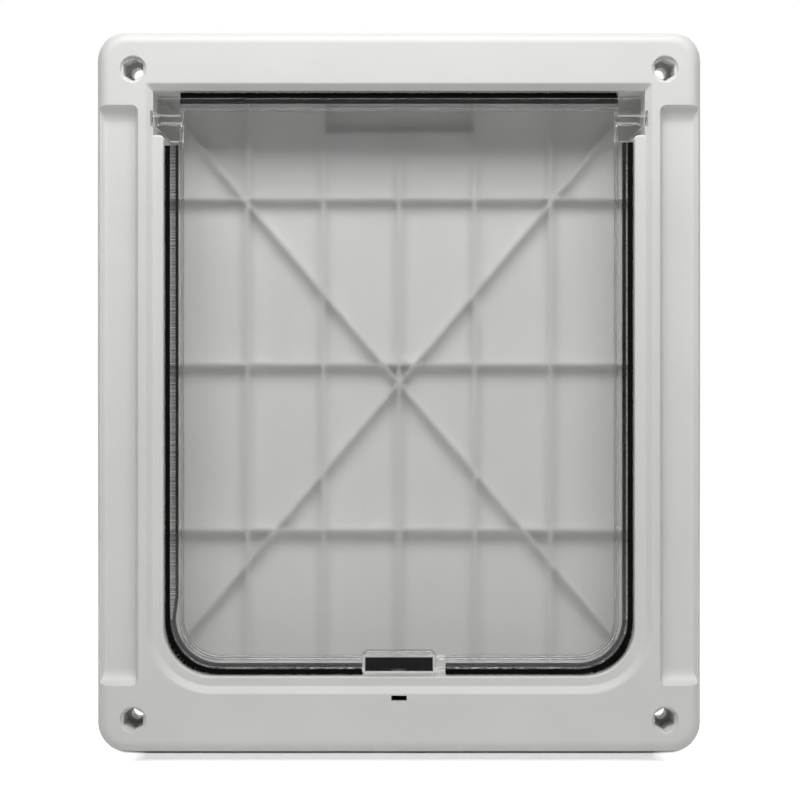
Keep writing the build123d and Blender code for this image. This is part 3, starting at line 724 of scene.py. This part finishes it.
def lay_floor(scene, settings):
    """A wide floor that the object stands on."""
    bm = bmesh.new()
    bmesh.ops.create_grid(
        bm, x_segments=1, y_segments=1, size=settings.floor_reach,
        matrix=Matrix.Translation((0, 0, CAD_LOW.z)))
    mesh = bpy.data.meshes.new("floor")
    bm.to_mesh(mesh)
    bm.free()
    floor = bpy.data.objects.new("floor", mesh)
    scene.collection.objects.link(floor)
    floor.data.materials.append(pale_floor(settings))


def light_sky(scene, settings):
    """A soft sky, brightest straight above and dark at the horizon, that looks white to the camera."""
    world = bpy.data.worlds.new("sky")
    world.use_nodes = True
    tree = world.node_tree
    tree.nodes.clear()
    direction = add_node(tree, "ShaderNodeTexCoord").outputs["Generated"]
    parts = add_node(tree, "ShaderNodeSeparateXYZ", {"Vector": direction}).outputs
    fade = combine(tree, "POWER", combine(tree, "MAXIMUM", parts["Z"], 0), settings.sky_fall)
    lit = combine(tree, "MULTIPLY", fade, settings.sky_strength)
    behind = add_node(tree, "ShaderNodeMapRange", {
        "Value": parts["Y"], "From Max": settings.sky_mirrored}).outputs[0]
    level = add_node(tree, "ShaderNodeMix", {0: seen_directly(tree, behind), 2: lit, 3: 1.0}).outputs[0]
    sky = add_node(tree, "ShaderNodeBackground", {"Color": (1, 1, 1, 1), "Strength": level})
    add_node(tree, "ShaderNodeOutputWorld", {"Surface": sky.outputs[0]})
    scene.world = world


def add_lamp(scene, name, place, size, power):
    """A large soft lamp that points at the object."""
    data = bpy.data.lights.new(name, "AREA")
    data.shape = "RECTANGLE"
    data.size, data.size_y = size
    data.energy = power
    made = bpy.data.objects.new(name, data)
    scene.collection.objects.link(made)
    made.location = place
    aim = (CAD_LOW + CAD_HIGH) / 2 - Vector(place)
    made.rotation_euler = aim.to_track_quat("-Z", "Y").to_euler()


def add_camera(scene, settings):
    """The camera in front of the object: it looks level, and its picture is shifted onto the object."""
    data = bpy.data.cameras.new("camera")
    data.sensor_width = SENSOR_WIDTH
    data.lens = settings.lens
    data.shift_x, data.shift_y = settings.camera_shift
    camera = bpy.data.objects.new("camera", data)
    scene.collection.objects.link(camera)
    camera.location = (
        settings.camera_side, CAD_LOW.y - settings.camera_distance, settings.camera_height)
    camera.rotation_euler = (math.pi / 2, 0, 0)
    scene.camera = camera


class PETDOOR_PT_panel(bpy.types.Panel):
    """The pet door's operators and settings"""

    bl_label = "Pet Door"
    bl_idname = "PETDOOR_PT_panel"
    bl_space_type = "VIEW_3D"
    bl_region_type = "UI"
    bl_category = "Pet Door"

    def draw(self, context):
        for name, (_, operator) in SECTIONS.items():
            box = self.layout.box()
            settings = getattr(context.scene, name)
            for key in settings.__annotations__:
                box.prop(settings, key)
            box.operator(operator.bl_idname)


SECTIONS = {
    "petdoor_stage": (PetDoorStage, PETDOOR_OT_stage),
    "petdoor_mouldings": (PetDoorMouldings, PETDOOR_OT_mouldings),
    "petdoor_acrylic": (PetDoorAcrylic, PETDOOR_OT_flap),
    "petdoor_magnets": (PetDoorMagnets, PETDOOR_OT_magnets),
    "petdoor_brushes": (PetDoorBrushes, PETDOOR_OT_brushes),
}


def register():
    """Register the settings, the operators and the panel."""
    for name, (group, operator) in SECTIONS.items():
        bpy.utils.register_class(group)
        setattr(bpy.types.Scene, name, bpy.props.PointerProperty(type=group))
        bpy.utils.register_class(operator)
    bpy.utils.register_class(PETDOOR_PT_panel)


def unregister():
    """Take away what register added, in the opposite order."""
    bpy.utils.unregister_class(PETDOOR_PT_panel)
    for name, (group, operator) in reversed(SECTIONS.items()):
        bpy.utils.unregister_class(operator)
        delattr(bpy.types.Scene, name)
        bpy.utils.unregister_class(group)


def main():
    """Build the whole scene."""
    register()
    bpy.ops.petdoor.stage()
    bpy.ops.petdoor.mouldings()
    bpy.ops.petdoor.flap()
    bpy.ops.petdoor.magnets()
    bpy.ops.petdoor.brushes()


if __name__ == "__main__":
    main()
